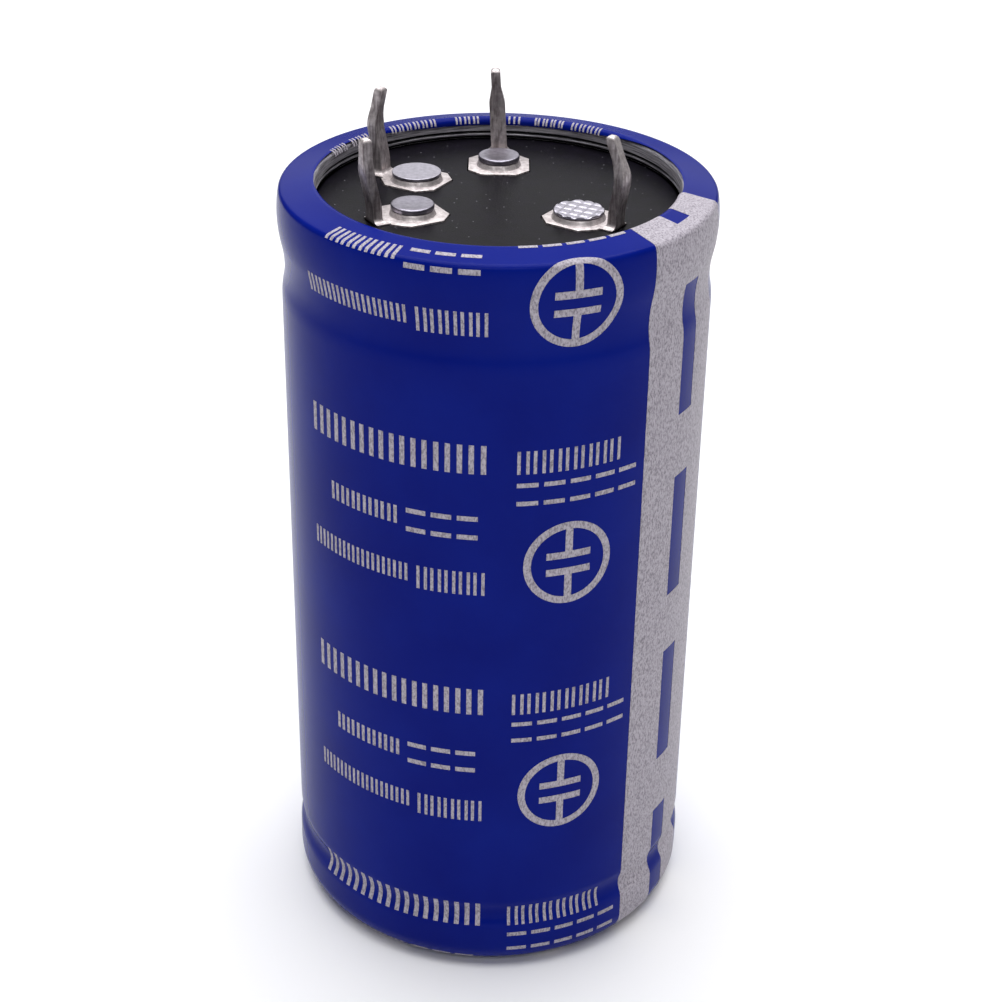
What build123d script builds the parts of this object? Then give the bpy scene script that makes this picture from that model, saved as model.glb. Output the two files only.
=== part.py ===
from build123d import *
import math
import os

# Snap-in supercapacitor, 35 mm class, standing on its closed end with the terminals up.
# Millimetres. The origin is at the centre of the base, on the surface it stands on, with
# +Z along the axis. Every radius is measured from that axis.

# Body, over the sleeve.
BODY_HEIGHT = 67.85
WALL_DIAMETER = 35.5
FOOT_BULGE = 0.10
FOOT_CORNER = 2.6
FOOT_HEIGHT = 4.4
RIM_BULGE = 0.22
RIM_BULGE_DEPTH = 2.55
RIM_TAPER = 0.14
RIM_CORNER = 0.5
CROWN_FALL = 0.43
LIP_DIAMETER = 29.2
LIP_ROUND = 0.5
LIP_DROP = 0.6

# Swaged ring near the foot.
LOWER_GROOVE_DEPTH = 0.30
LOWER_GROOVE_FALL = 1.7
LOWER_GROOVE_RISE = 1.6

# Rolled bead under the header, which the sleeve bridges with a shallower hollow.
BEAD_DEPTH = 1.27
BEAD_FALL = 2.5
BEAD_RISE = 1.58
HEADER_ZONE_RELIEF = 0.17
BRIDGE_DEPTH = 0.27

# Sleeve and can.
SLEEVE_THICKNESS = 0.2
SLEEVE_CLEARANCE = 0.03
BASE_OPENING_DIAMETER = 27.0
CAN_WALL = 0.6
CURL_WALL = 0.55
CURL_LEAN = 0.08
CURL_FACE_FOOT = 0.72
CURL_GROOVE = 0.24
CURL_EDGE_TOP = 0.43
CURL_EDGE_FOOT = 0.19
CURL_EDGE_BULGE = 0.16
VENT_LENGTH = 14.0
VENT_WIDTH = 0.4
VENT_DEPTH = 0.25

# Header: a rubber face on a phenolic board.
RECESS_DEPTH = 1.87
RUBBER_THICKNESS = 1.2
BOARD_THICKNESS = 2.5
HEADER_CLEARANCE = 0.05

# Terminal lugs, stamped from one sheet.
SHEET = 0.8
TERMINAL_CIRCLE = 22.5
RIVET_CIRCLE = 15.7
PLATE_WIDTH = 5.1
PLATE_CHAMFER = 1.1
PLATE_SINK = 0.7
POCKET_CLEARANCE = 0.1
COLLAR_HEIGHT = 0.4
COLLAR_FOOT_MARGIN = 0.14
COLLAR_TOP_MARGIN = -0.04
BEND_RADIUS = 0.4
BLADE_WIDTH = 1.34
NECK_WIDTH = 0.8
BLADE_LENGTH = 7.45
SHOULDER_AT = 4.3
NECK_AT = 5.6
TIP_ROUND = 0.3
ROOT_FLARE = 0.45

# Rivets.
SHANK_DIAMETER = 2.4
SHANK_CLEARANCE = 0.03
HEAD_GAP = 0.1
LARGE_HEAD_THICKNESS = 0.2
SMALL_HEAD_THICKNESS = 0.38
LARGE_HEAD_ROUND = 0.06
SMALL_HEAD_ROUND = 0.16
LARGE_HEAD_DIAMETER = 4.1
SMALL_HEAD_DIAMETER = 3.5
DISH_DEPTH = 0.10
DISH_SHARE = 0.75
WAFFLE_PITCH = 0.9
WAFFLE_TURN = 7
WAFFLE_DEPTH = 0.1
WAFFLE_GROOVE = 0.22
TAIL_DIAMETER = 3.6
TAIL_THICKNESS = 0.5

# Inside the can.
WASHER_DIAMETER = 6.0
WASHER_THICKNESS = 0.5
WINDING_CLEARANCE = 0.15
WINDING_BORE = 4.0
HEADSPACE = 0.9
TAPE_THICKNESS = 0.12
TAPE_MARGIN = 8.0
INSULATOR_THICKNESS = 0.5
INSULATOR_MARGIN = 0.35
TAB_WIDTH = 6.0
TAB_THICKNESS = 0.3
TAB_SLOT_CLEARANCE = 0.4
TAB_ROOT_CIRCLE = 20.0
TAB_ROOT_DEPTH = 0.6
TAB_JOG = 1.2
TAB_BEND = 0.4
STACK_GAP = 0.02

# Each terminal: its angle and rivet head, how far it is riveted outwards of its circle,
# the outward set of its knee and tip, the sideways set of its tip, and how much its blade
# is short of the longest.
TERMINALS = {
    "negative": dict(angle=327, head="waffle", out=-0.2, knee=0.42, tip=-0.62, side=0.0, short=0.0),
    "positive": dict(angle=150, head="flat", out=0.0, knee=0.60, tip=0.05, side=0.0, short=0.07),
    "support_rear": dict(angle=90, head="dished", out=0.0, knee=0.50, tip=0.10, side=0.42, short=0.12),
    "support_front": dict(angle=210, head="dished", out=0.0, knee=0.62, tip=0.66, side=0.0, short=0.47),
}
TAB_TERMINALS = ("negative", "positive")

# Levels and radii that follow from the sizes above.
WALL_RADIUS = WALL_DIAMETER / 2
FOOT_RADIUS = WALL_RADIUS + FOOT_BULGE
RIM_RADIUS = WALL_RADIUS + RIM_BULGE
LIP_RADIUS = LIP_DIAMETER / 2
SKIN = SLEEVE_THICKNESS + SLEEVE_CLEARANCE
HEADER_TOP = BODY_HEIGHT - RECESS_DEPTH
BOARD_TOP = HEADER_TOP - RUBBER_THICKNESS
SEAT = BOARD_TOP - BOARD_THICKNESS
BEAD_MIDDLE = SEAT - BEAD_RISE
BEAD_BOTTOM = BEAD_MIDDLE - BEAD_FALL
RIM_LEVEL = BODY_HEIGHT - RIM_BULGE_DEPTH
HEADER_ZONE_RADIUS = WALL_RADIUS - SKIN - HEADER_ZONE_RELIEF
HEADER_RADIUS = HEADER_ZONE_RADIUS - CAN_WALL - HEADER_CLEARANCE
GROOVE_MIDDLE = FOOT_HEIGHT + LOWER_GROOVE_FALL
GROOVE_TOP = GROOVE_MIDDLE + LOWER_GROOVE_RISE
CAN_FLOOR = SKIN + CAN_WALL
TAPE_RADIUS = WALL_RADIUS - LOWER_GROOVE_DEPTH - SKIN - CAN_WALL - WINDING_CLEARANCE
WINDING_RADIUS = TAPE_RADIUS - TAPE_THICKNESS - STACK_GAP
CORNER_CENTRE = FOOT_RADIUS - FOOT_CORNER
CORNER_INSIDE = FOOT_CORNER - SKIN - CAN_WALL
CORNER_LEVEL = FOOT_CORNER - math.sqrt(CORNER_INSIDE**2 - (WINDING_RADIUS - CORNER_CENTRE) ** 2)
WINDING_BOTTOM = max(CAN_FLOOR + INSULATOR_THICKNESS, CORNER_LEVEL) + 2 * STACK_GAP
WINDING_TOP = BEAD_BOTTOM - INSULATOR_THICKNESS - HEADSPACE
WINDING_HEIGHT = WINDING_TOP - WINDING_BOTTOM
PLATE_BOTTOM = HEADER_TOP - PLATE_SINK
PLATE_TOP = PLATE_BOTTOM + SHEET
COLLAR_TOP = PLATE_TOP + COLLAR_HEIGHT
HEAD_BOTTOM = COLLAR_TOP + HEAD_GAP
WASHER_TOP = SEAT - TAB_THICKNESS - STACK_GAP
WASHER_BOTTOM = WASHER_TOP - WASHER_THICKNESS
HOLE_RADIUS = SHANK_DIAMETER / 2 + SHANK_CLEARANCE

# Solids that stand on their place: centred across it, with their lowest face on it.
UPRIGHT = (Align.CENTER, Align.CENTER, Align.MIN)

# How far a cutting solid runs past the face it cuts.
OVERCUT = 1.0


def ogee(start, end):
    """Two equal arcs that join two points with both ends upright."""
    if abs(start[0] - end[0]) < 1e-6:
        return [Line(start, end)]
    middle = ((start[0] + end[0]) / 2, (start[1] + end[1]) / 2)
    across = middle[0] - start[0]
    along = middle[1] - start[1]
    radius = (across**2 + along**2) / (2 * across)
    turn = math.asin(along / abs(radius)) / 2
    first = (start[0] + radius * (1 - math.cos(turn)), start[1] + abs(radius) * math.sin(turn))
    second = (start[0] + end[0] - first[0], start[1] + end[1] - first[1])
    return [ThreePointArc(start, first, middle), ThreePointArc(middle, second, end)]


def corner(start, end, centre, radius):
    """A quarter arc from start to end about centre."""
    direction = (start[0] + end[0] - 2 * centre[0], start[1] + end[1] - 2 * centre[1])
    scale = radius / math.hypot(*direction)
    middle = (centre[0] + direction[0] * scale, centre[1] + direction[1] * scale)
    return ThreePointArc(start, middle, end)


def turned(edges):
    """The solid turned about the axis from a closed outline in radius and height."""
    outline = make_face([Plane.XZ * edge for edge in edges])
    return revolve(outline, Axis.Z)


def foot_edges(inset, start_radius):
    """Base, foot corner and foot wall, inset from the sleeve's outer surface."""
    flat_end = (FOOT_RADIUS - FOOT_CORNER, inset)
    wall_start = (FOOT_RADIUS - inset, FOOT_CORNER)
    wall_end = (FOOT_RADIUS - inset, FOOT_HEIGHT)
    centre = (FOOT_RADIUS - FOOT_CORNER, FOOT_CORNER)
    return [
        Line((start_radius, inset), flat_end),
        corner(flat_end, wall_start, centre, FOOT_CORNER - inset),
        Line(wall_start, wall_end),
    ]


def groove_edges(inset):
    """The swaged ring near the foot, from the foot wall to the straight wall."""
    start = (FOOT_RADIUS - inset, FOOT_HEIGHT)
    valley = (WALL_RADIUS - LOWER_GROOVE_DEPTH - inset, GROOVE_MIDDLE)
    end = (WALL_RADIUS - inset, GROOVE_TOP)
    return ogee(start, valley) + ogee(valley, end)


def rim_frame():
    """Centres of the rim's corner and lip rounds, the rim wall's radius of curvature, and
    the two slopes where the corner meets the wall and the crowned top."""
    corner_centre = (RIM_RADIUS - RIM_TAPER - RIM_CORNER, BODY_HEIGHT - CROWN_FALL - RIM_CORNER)
    lip_centre = (LIP_RADIUS + LIP_ROUND, BODY_HEIGHT - LIP_ROUND)
    set_in = RIM_TAPER + RIM_CORNER
    rise = corner_centre[1] - RIM_LEVEL
    wall_curve = (set_in**2 + rise**2 - RIM_CORNER**2) / (2 * RIM_TAPER)
    wall_slope = math.atan2(rise, wall_curve - set_in)
    across = corner_centre[0] - lip_centre[0]
    fall = lip_centre[1] - corner_centre[1]
    crown_slope = math.atan2(fall, across) + math.asin((LIP_ROUND - RIM_CORNER) / math.hypot(across, fall))
    return corner_centre, lip_centre, wall_curve, wall_slope, crown_slope


def around(centre, radius, angle):
    """The point of a circle at an angle from the outward direction."""
    return (centre[0] + radius * math.cos(angle), centre[1] + radius * math.sin(angle))


def arc(centre, radius, start, end):
    """An arc about centre between two angles from the outward direction."""
    angles = (start, (start + end) / 2, end)
    return ThreePointArc(*(around(centre, radius, angle) for angle in angles))


def rim_edges(inset, lip_inset):
    """Rim wall, corner, crowned top and lip round, inset from the sleeve's outer surface."""
    corner_centre, lip_centre, wall_curve, wall_slope, crown_slope = rim_frame()
    wall_centre = (RIM_RADIUS - wall_curve, RIM_LEVEL)
    crown = math.pi / 2 - crown_slope
    crown_start = around(corner_centre, RIM_CORNER - inset, crown)
    crown_end = around(lip_centre, LIP_ROUND - lip_inset, crown)
    return [
        arc(wall_centre, wall_curve - inset, 0, wall_slope),
        arc(corner_centre, RIM_CORNER - inset, wall_slope, crown),
        Line(crown_start, crown_end),
        arc(lip_centre, LIP_ROUND - lip_inset, crown, math.pi),
    ]


def sleeve_outline(inset):
    """One surface of the sleeve, from the base opening to the lip inside the rim."""
    wall_bottom = (WALL_RADIUS - inset, GROOVE_TOP)
    wall_top = (WALL_RADIUS - inset, BEAD_BOTTOM)
    valley = (WALL_RADIUS - BRIDGE_DEPTH - inset, BEAD_MIDDLE)
    rim_start = (RIM_RADIUS - inset, RIM_LEVEL)
    lip_start = (LIP_RADIUS + inset, BODY_HEIGHT - LIP_ROUND)
    lip_end = (LIP_RADIUS + inset, BODY_HEIGHT - LIP_DROP)
    edges = foot_edges(inset, BASE_OPENING_DIAMETER / 2) + groove_edges(inset)
    edges += [Line(wall_bottom, wall_top)] + ogee(wall_top, valley) + ogee(valley, rim_start)
    edges += rim_edges(inset, inset) + [Line(lip_start, lip_end)]
    return edges, (BASE_OPENING_DIAMETER / 2, inset), lip_end


def sleeve():
    """Heat-shrunk PVC sleeve, turned in over the rim and under the base."""
    outer, outer_start, outer_end = sleeve_outline(0)
    inner, inner_start, inner_end = sleeve_outline(SLEEVE_THICKNESS)
    ends = [Line(outer_start, inner_start), Line(outer_end, inner_end)]
    return turned(outer + inner + ends)


def can_wall(inset):
    """The can's outer or inner surface from the base to the widest part of the rim."""
    wall_bottom = (WALL_RADIUS - inset, GROOVE_TOP)
    wall_top = (WALL_RADIUS - inset, BEAD_BOTTOM)
    valley = (WALL_RADIUS - BEAD_DEPTH - inset, BEAD_MIDDLE)
    seat = (WALL_RADIUS - HEADER_ZONE_RELIEF - inset, SEAT)
    rim_start = (RIM_RADIUS - inset, RIM_LEVEL)
    edges = foot_edges(inset, 0) + groove_edges(inset)
    edges += [Line(wall_bottom, wall_top)] + ogee(wall_top, valley) + ogee(valley, seat)
    edges += ogee(seat, rim_start)
    return edges


def curl_edges():
    """The turned-in lip below the rim's round: face, groove, rolled edge, toe and hollow."""
    corner_centre = rim_frame()[0]
    hollow_top = BODY_HEIGHT - CROWN_FALL - SKIN - CAN_WALL
    face_radius = LIP_RADIUS + SKIN
    face_top = (face_radius, BODY_HEIGHT - LIP_ROUND)
    face_foot = (face_radius - CURL_LEAN, HEADER_TOP + CURL_FACE_FOOT)
    groove_radius = face_foot[0] + CURL_GROOVE
    groove_top = (groove_radius, HEADER_TOP + CURL_FACE_FOOT)
    edge_top = (groove_radius, HEADER_TOP + CURL_EDGE_TOP)
    edge_side = (groove_radius - CURL_EDGE_BULGE, HEADER_TOP + (CURL_EDGE_TOP + CURL_EDGE_FOOT) / 2)
    edge_foot = (groove_radius, HEADER_TOP + CURL_EDGE_FOOT)
    toe = (groove_radius, HEADER_TOP)
    heel = (groove_radius + CURL_WALL, HEADER_TOP)
    pocket = (groove_radius + CURL_WALL, hollow_top)
    inner_corner = (corner_centre[0], hollow_top)
    inner_rim = (RIM_RADIUS - SKIN - CAN_WALL, RIM_LEVEL)
    return [
        Line(face_top, face_foot),
        Line(face_foot, groove_top),
        Line(groove_top, edge_top),
        ThreePointArc(edge_top, edge_side, edge_foot),
        Line(edge_foot, toe),
        Line(toe, heel),
        Line(heel, pocket),
        Line(pocket, inner_corner),
        Line(inner_corner, inner_rim),
    ]


def can():
    """Drawn aluminium can with its vent score, rolled bead and curled rim."""
    floor = Line((0, SKIN), (0, SKIN + CAN_WALL))
    rim = rim_edges(SKIN, SKIN) + curl_edges()
    body = turned(can_wall(SKIN) + can_wall(SKIN + CAN_WALL) + rim + [floor])
    score = Box(VENT_LENGTH, VENT_WIDTH, 2 * VENT_DEPTH) + Box(VENT_WIDTH, VENT_LENGTH, 2 * VENT_DEPTH)
    return body - Pos(0, 0, SKIN) * score


def plate_outline(grow):
    """The lug's eight-sided plate, with its centre on the rivet, grown all round."""
    half = PLATE_WIDTH / 2
    cut = half - PLATE_CHAMFER
    corners = [(half, cut), (cut, half), (-cut, half), (-half, cut)]
    corners += [(-x, -y) for x, y in corners]
    plate = make_face(Polyline(*corners, close=True))
    return offset(plate, grow, kind=Kind.INTERSECTION) if grow else plate


def at_rivet(terminal, height):
    """The place of a terminal's rivet, with +X pointing outwards."""
    return Rot(0, 0, terminal["angle"]) * Pos(RIVET_CIRCLE / 2 + terminal["out"], 0, height)


def blade_side(terminal):
    """The lug's strip seen along the tangent: plate end, bend, knee and tip."""
    inner = TERMINAL_CIRCLE / 2 - SHEET / 2 - RIVET_CIRCLE / 2
    start = PLATE_WIDTH / 2 - PLATE_CHAMFER / 2
    outer = inner + SHEET
    knee = terminal["knee"]
    tip = terminal["tip"]
    bend_top = PLATE_TOP + BEND_RADIUS
    shoulder = HEADER_TOP + SHOULDER_AT
    top = HEADER_TOP + BLADE_LENGTH - terminal["short"]
    round_foot = top - TIP_ROUND
    inner_bend_start = (inner - BEND_RADIUS, PLATE_TOP)
    inner_bend_end = (inner, bend_top)
    inner_centre = (inner - BEND_RADIUS, bend_top)
    outer_bend_start = (inner - BEND_RADIUS, PLATE_BOTTOM)
    outer_bend_end = (outer, bend_top)
    outer_radius = BEND_RADIUS + SHEET
    ends = [(0, 1), (tip - knee, round_foot - shoulder)]
    tip_inner = (inner + tip, round_foot)
    tip_outer = (outer + tip, round_foot)
    edges = [
        Line((start, PLATE_TOP), inner_bend_start),
        corner(inner_bend_start, inner_bend_end, inner_centre, BEND_RADIUS),
        Spline(inner_bend_end, (inner + knee, shoulder), tip_inner, tangents=ends),
        ThreePointArc(tip_inner, (inner + tip + SHEET / 2, top), tip_outer),
        Spline(outer_bend_end, (outer + knee, shoulder), tip_outer, tangents=ends),
        corner(outer_bend_start, outer_bend_end, inner_centre, outer_radius),
        Line((start, PLATE_BOTTOM), outer_bend_start),
        Line((start, PLATE_BOTTOM), (start, PLATE_TOP)),
    ]
    return edges


def blade_front(terminal):
    """The blade's outline seen along the radius: flare, shoulder, neck and round tip."""
    wide = BLADE_WIDTH / 2
    neck = NECK_WIDTH / 2
    flare = wide + ROOT_FLARE
    root = PLATE_TOP + ROOT_FLARE
    shoulder = HEADER_TOP + SHOULDER_AT
    waist = HEADER_TOP + NECK_AT
    top = HEADER_TOP + BLADE_LENGTH - terminal["short"]
    lean = terminal["side"] / (top - root)

    def at(across, height):
        """A point of the outline, set over by the blade's sideways lean."""
        return (across + lean * max(0.0, height - root), height)

    edges = []
    for side in (-1, 1):
        centre = (side * flare, root)
        foot = (side * flare, PLATE_TOP)
        edges += [
            Line((side * flare, PLATE_BOTTOM), foot),
            corner(foot, at(side * wide, root), centre, ROOT_FLARE),
            Line(at(side * wide, root), at(side * wide, shoulder)),
            Line(at(side * wide, shoulder), at(side * neck, waist)),
            Line(at(side * neck, waist), at(side * neck, top - neck)),
        ]
    edges += [ThreePointArc(at(-neck, top - neck), at(0, top), at(neck, top - neck))]
    edges += [Line((-flare, PLATE_BOTTOM), (flare, PLATE_BOTTOM))]
    return edges


def lug(terminal):
    """One stamped lug: plate with a raised collar, and a blade with a snap knee."""
    head_radius = head_diameter(terminal) / 2
    plate = extrude(plate_outline(0), SHEET)
    foot_radius = head_radius + COLLAR_FOOT_MARGIN
    top_radius = head_radius + COLLAR_TOP_MARGIN
    plate += Pos(0, 0, SHEET) * Cone(foot_radius, top_radius, COLLAR_HEIGHT, align=UPRIGHT)
    plate = Pos(0, 0, PLATE_BOTTOM) * plate
    side = make_face([Plane.XZ * edge for edge in blade_side(terminal)])
    front = make_face([Plane.YZ * edge for edge in blade_front(terminal)])
    strip = extrude(side, PLATE_WIDTH / 2, both=True) & extrude(front, PLATE_WIDTH * 2, both=True)
    hole = Pos(0, 0, PLATE_BOTTOM) * Cylinder(HOLE_RADIUS, 2 * (SHEET + COLLAR_HEIGHT))
    return at_rivet(terminal, 0) * (plate + strip - hole)


def head_diameter(terminal):
    """The rivet head's diameter: large on the live terminals, small on the supports."""
    return SMALL_HEAD_DIAMETER if terminal["head"] == "dished" else LARGE_HEAD_DIAMETER


def head_thickness(terminal):
    """The rivet head's thickness: thin on the live terminals, thicker on the supports."""
    return SMALL_HEAD_THICKNESS if terminal["head"] == "dished" else LARGE_HEAD_THICKNESS


def waffle(radius):
    """Crossed V grooves over a rivet head, as one cutting solid."""
    count = math.ceil(radius / WAFFLE_PITCH)
    groove = make_face(
        Polyline((-WAFFLE_GROOVE / 2, 0), (0, -WAFFLE_DEPTH), (WAFFLE_GROOVE / 2, 0), close=True)
    )
    bar = extrude(Plane.XZ * groove, 2 * radius, both=True)
    rows = Part()
    for turn in (WAFFLE_TURN, WAFFLE_TURN + 90):
        for step in range(-count, count + 1):
            rows += Rot(0, 0, turn) * Pos(step * WAFFLE_PITCH, 0, 0) * bar
    return rows


def rivet(terminal):
    """One aluminium rivet: head, shank through the header, and clenched tail."""
    radius = head_diameter(terminal) / 2
    shank = SHANK_DIAMETER / 2
    tail = TAIL_DIAMETER / 2
    top = HEAD_BOTTOM + head_thickness(terminal)
    edge_round = SMALL_HEAD_ROUND if terminal["head"] == "dished" else LARGE_HEAD_ROUND
    tail_top = WASHER_BOTTOM - STACK_GAP
    tail_bottom = tail_top - TAIL_THICKNESS
    points = [(0, tail_bottom), (tail, tail_bottom), (tail, tail_top), (shank, tail_top)]
    points += [(shank, HEAD_BOTTOM), (radius, HEAD_BOTTOM), (radius, top), (0, top), (0, tail_bottom)]
    body = revolve(make_face(Plane.XZ * Polyline(*points)), Axis.Z)
    body = fillet(body.edges().group_by(Axis.Z)[-1], edge_round)
    if terminal["head"] == "waffle":
        body -= Pos(0, 0, top) * waffle(radius)
    if terminal["head"] == "dished":
        hollow = DISH_SHARE * radius
        ball = (hollow**2 + DISH_DEPTH**2) / (2 * DISH_DEPTH)
        body -= Pos(0, 0, top - DISH_DEPTH + ball) * Sphere(ball)
    return at_rivet(terminal, 0) * body


def washer(terminal):
    """Inner washer that the rivet's tail is clenched on, under the board."""
    # Where a tab comes between the washer and the board, the tab takes up the space.
    lift = 0 if is_live(terminal) else TAB_THICKNESS + STACK_GAP
    plate = Cylinder(WASHER_DIAMETER / 2, WASHER_THICKNESS + lift, align=UPRIGHT)
    hole = Cylinder(HOLE_RADIUS, 4 * WASHER_THICKNESS)
    return at_rivet(terminal, WASHER_BOTTOM) * (plate - hole)


def is_live(terminal):
    """Whether a terminal carries one of the winding's tabs."""
    return any(TERMINALS[name] is terminal for name in TAB_TERMINALS)


def shank_holes(bottom, height):
    """The four clearance holes for the rivet shanks, as one cutting solid."""
    holes = Part()
    for terminal in TERMINALS.values():
        hole = Cylinder(HOLE_RADIUS, height + 2 * OVERCUT, align=UPRIGHT)
        holes += at_rivet(terminal, bottom - OVERCUT) * hole
    return holes


def header_board():
    """Phenolic board that carries the rivets and seats on the bead."""
    board = Cylinder(HEADER_RADIUS, BOARD_THICKNESS, align=UPRIGHT)
    return Pos(0, 0, SEAT) * board - shank_holes(SEAT, BOARD_THICKNESS)


def header_rubber():
    """Rubber face bonded on the board, dented where the lugs are riveted down."""
    sheet = Cylinder(HEADER_RADIUS, RUBBER_THICKNESS, align=UPRIGHT)
    face = Pos(0, 0, BOARD_TOP) * sheet - shank_holes(BOARD_TOP, RUBBER_THICKNESS)
    foot_length = TERMINAL_CIRCLE / 2 + SHEET / 2 - RIVET_CIRCLE / 2
    foot_width = BLADE_WIDTH + 2 * ROOT_FLARE
    outwards = (Align.MIN, Align.CENTER, Align.MIN)
    for terminal in TERMINALS.values():
        pocket = extrude(plate_outline(POCKET_CLEARANCE), PLATE_SINK + OVERCUT)
        foot = Box(foot_length, foot_width, PLATE_SINK + OVERCUT, align=outwards)
        face -= at_rivet(terminal, PLATE_BOTTOM) * (pocket + foot)
    return face


def tab(terminal):
    """Aluminium tab from the winding's end, folded out and riveted under the board."""
    root = (TAB_ROOT_CIRCLE - RIVET_CIRCLE) / 2 - terminal["out"]
    reach = WASHER_DIAMETER / 2
    top = SEAT - STACK_GAP / 2
    middle = (WINDING_TOP + top) / 2
    points = [
        (root, WINDING_TOP - TAB_ROOT_DEPTH),
        (root, middle - TAB_JOG),
        (root + TAB_JOG, middle),
        (root + TAB_JOG, top - TAB_THICKNESS / 2),
        (-reach, top - TAB_THICKNESS / 2),
    ]
    path = Plane.XZ * FilletPolyline(*points, radius=TAB_BEND)
    start = path @ 0
    section = Plane(origin=start, z_dir=path % 0) * Rectangle(TAB_THICKNESS, TAB_WIDTH)
    strip = sweep(section, path)
    hole = Pos(0, 0, top) * Cylinder(HOLE_RADIUS, 4 * TAB_THICKNESS)
    return at_rivet(terminal, 0) * (strip - hole)


def tab_slots(height):
    """Upright clearance slots where the tabs leave the winding, from a level up."""
    slots = Part()
    for name in TAB_TERMINALS:
        terminal = TERMINALS[name]
        thick = TAB_THICKNESS + 2 * TAB_SLOT_CLEARANCE
        wide = TAB_WIDTH + 2 * TAB_SLOT_CLEARANCE
        slot = Box(thick, wide, height, align=UPRIGHT)
        slots += Rot(0, 0, terminal["angle"]) * Pos(TAB_ROOT_CIRCLE / 2, 0, 0) * slot
    return slots


def winding():
    """The wound cell of carbon-coated foils and separator, as one solid roll."""
    roll = Cylinder(WINDING_RADIUS, WINDING_HEIGHT, align=UPRIGHT)
    bore = Cylinder(WINDING_BORE / 2, WINDING_HEIGHT, align=UPRIGHT)
    body = Pos(0, 0, WINDING_BOTTOM) * (roll - bore)
    return body - Pos(0, 0, WINDING_TOP - TAB_ROOT_DEPTH) * tab_slots(2 * TAB_ROOT_DEPTH)


def ring(outer, inner, bottom, height):
    """A plain tube about the axis."""
    tube = Cylinder(outer, height, align=UPRIGHT)
    tube -= Cylinder(inner, height, align=UPRIGHT)
    return Pos(0, 0, bottom) * tube


def winding_tape():
    """Tape round the roll that keeps it closed."""
    inner = TAPE_RADIUS - TAPE_THICKNESS
    return ring(TAPE_RADIUS, inner, WINDING_BOTTOM + TAPE_MARGIN, WINDING_HEIGHT - 2 * TAPE_MARGIN)


def bottom_insulator():
    """Plastic disc between the winding and the can's floor."""
    radius = CORNER_CENTRE - INSULATOR_MARGIN
    disc = Cylinder(radius, INSULATOR_THICKNESS, align=UPRIGHT)
    return Pos(0, 0, CAN_FLOOR + STACK_GAP) * disc


def top_insulator():
    """Slotted plastic disc on the winding, which the tabs pass through."""
    bottom = WINDING_TOP + STACK_GAP
    disc = ring(WINDING_RADIUS - INSULATOR_MARGIN, WINDING_BORE / 2, bottom, INSULATOR_THICKNESS)
    return disc - Pos(0, 0, bottom - OVERCUT) * tab_slots(INSULATOR_THICKNESS + 2 * OVERCUT)


def main():
    """Builds every piece and writes it to its own file."""
    pieces = {
        "sleeve": sleeve(),
        "can": can(),
        "header_rubber": header_rubber(),
        "header_board": header_board(),
        "winding": winding(),
        "winding_tape": winding_tape(),
        "bottom_insulator": bottom_insulator(),
        "top_insulator": top_insulator(),
    }
    for name, terminal in TERMINALS.items():
        pieces["lug_" + name] = lug(terminal)
        pieces["rivet_" + name] = rivet(terminal)
        pieces["washer_" + name] = washer(terminal)
        if is_live(terminal):
            pieces["tab_" + name] = tab(terminal)
    os.makedirs("parts", exist_ok=True)
    for name, shape in pieces.items():
        export_step(shape, "parts/" + name + ".step")


main()
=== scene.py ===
"""Looks of a snap-in supercapacitor: shrink sleeve, print, curled can, header and terminals.

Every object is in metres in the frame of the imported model: the base is at z = 0, the
axis is +Z and the terminals stand on top. Sizes held in the classes are millimetres.
"""

import bisect
import logging
import math
from dataclasses import dataclass, field
from enum import Enum
from typing import Any, Iterable, Optional, Sequence

import bmesh
import bpy
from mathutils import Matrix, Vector


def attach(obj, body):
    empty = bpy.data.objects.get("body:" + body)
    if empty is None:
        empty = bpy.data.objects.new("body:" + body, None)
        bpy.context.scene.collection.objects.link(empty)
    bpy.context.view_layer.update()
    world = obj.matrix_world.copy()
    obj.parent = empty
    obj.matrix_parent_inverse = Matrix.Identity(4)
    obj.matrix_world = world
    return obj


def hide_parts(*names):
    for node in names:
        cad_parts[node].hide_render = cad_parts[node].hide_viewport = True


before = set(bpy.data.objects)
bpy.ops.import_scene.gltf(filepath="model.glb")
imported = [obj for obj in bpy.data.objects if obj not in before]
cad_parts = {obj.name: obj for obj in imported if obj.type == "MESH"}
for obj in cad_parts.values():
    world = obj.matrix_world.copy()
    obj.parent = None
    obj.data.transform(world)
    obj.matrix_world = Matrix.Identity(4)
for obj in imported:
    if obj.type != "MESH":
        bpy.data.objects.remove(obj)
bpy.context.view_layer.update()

MM = 0.001
ROOT = "root"
log = logging.getLogger("supercapacitor")

Point = tuple[float, float]
Point3 = tuple[float, float, float]
Colour = tuple[float, float, float, float]


# ---------------------------------------------------------------- small helpers


def srgb(code: str, alpha: float = 1.0) -> Colour:
    """Turns an sRGB hex code into a linear colour.

    Args:
        code: Six hex digits, with or without a leading #.
        alpha: The colour's fourth number.

    Returns:
        Linear red, green and blue, and alpha.
    """
    digits = code.lstrip("#")
    values = [int(digits[i : i + 2], 16) / 255 for i in (0, 2, 4)]
    linear = [v / 12.92 if v <= 0.04045 else ((v + 0.055) / 1.055) ** 2.4 for v in values]
    return (linear[0], linear[1], linear[2], alpha)


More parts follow.
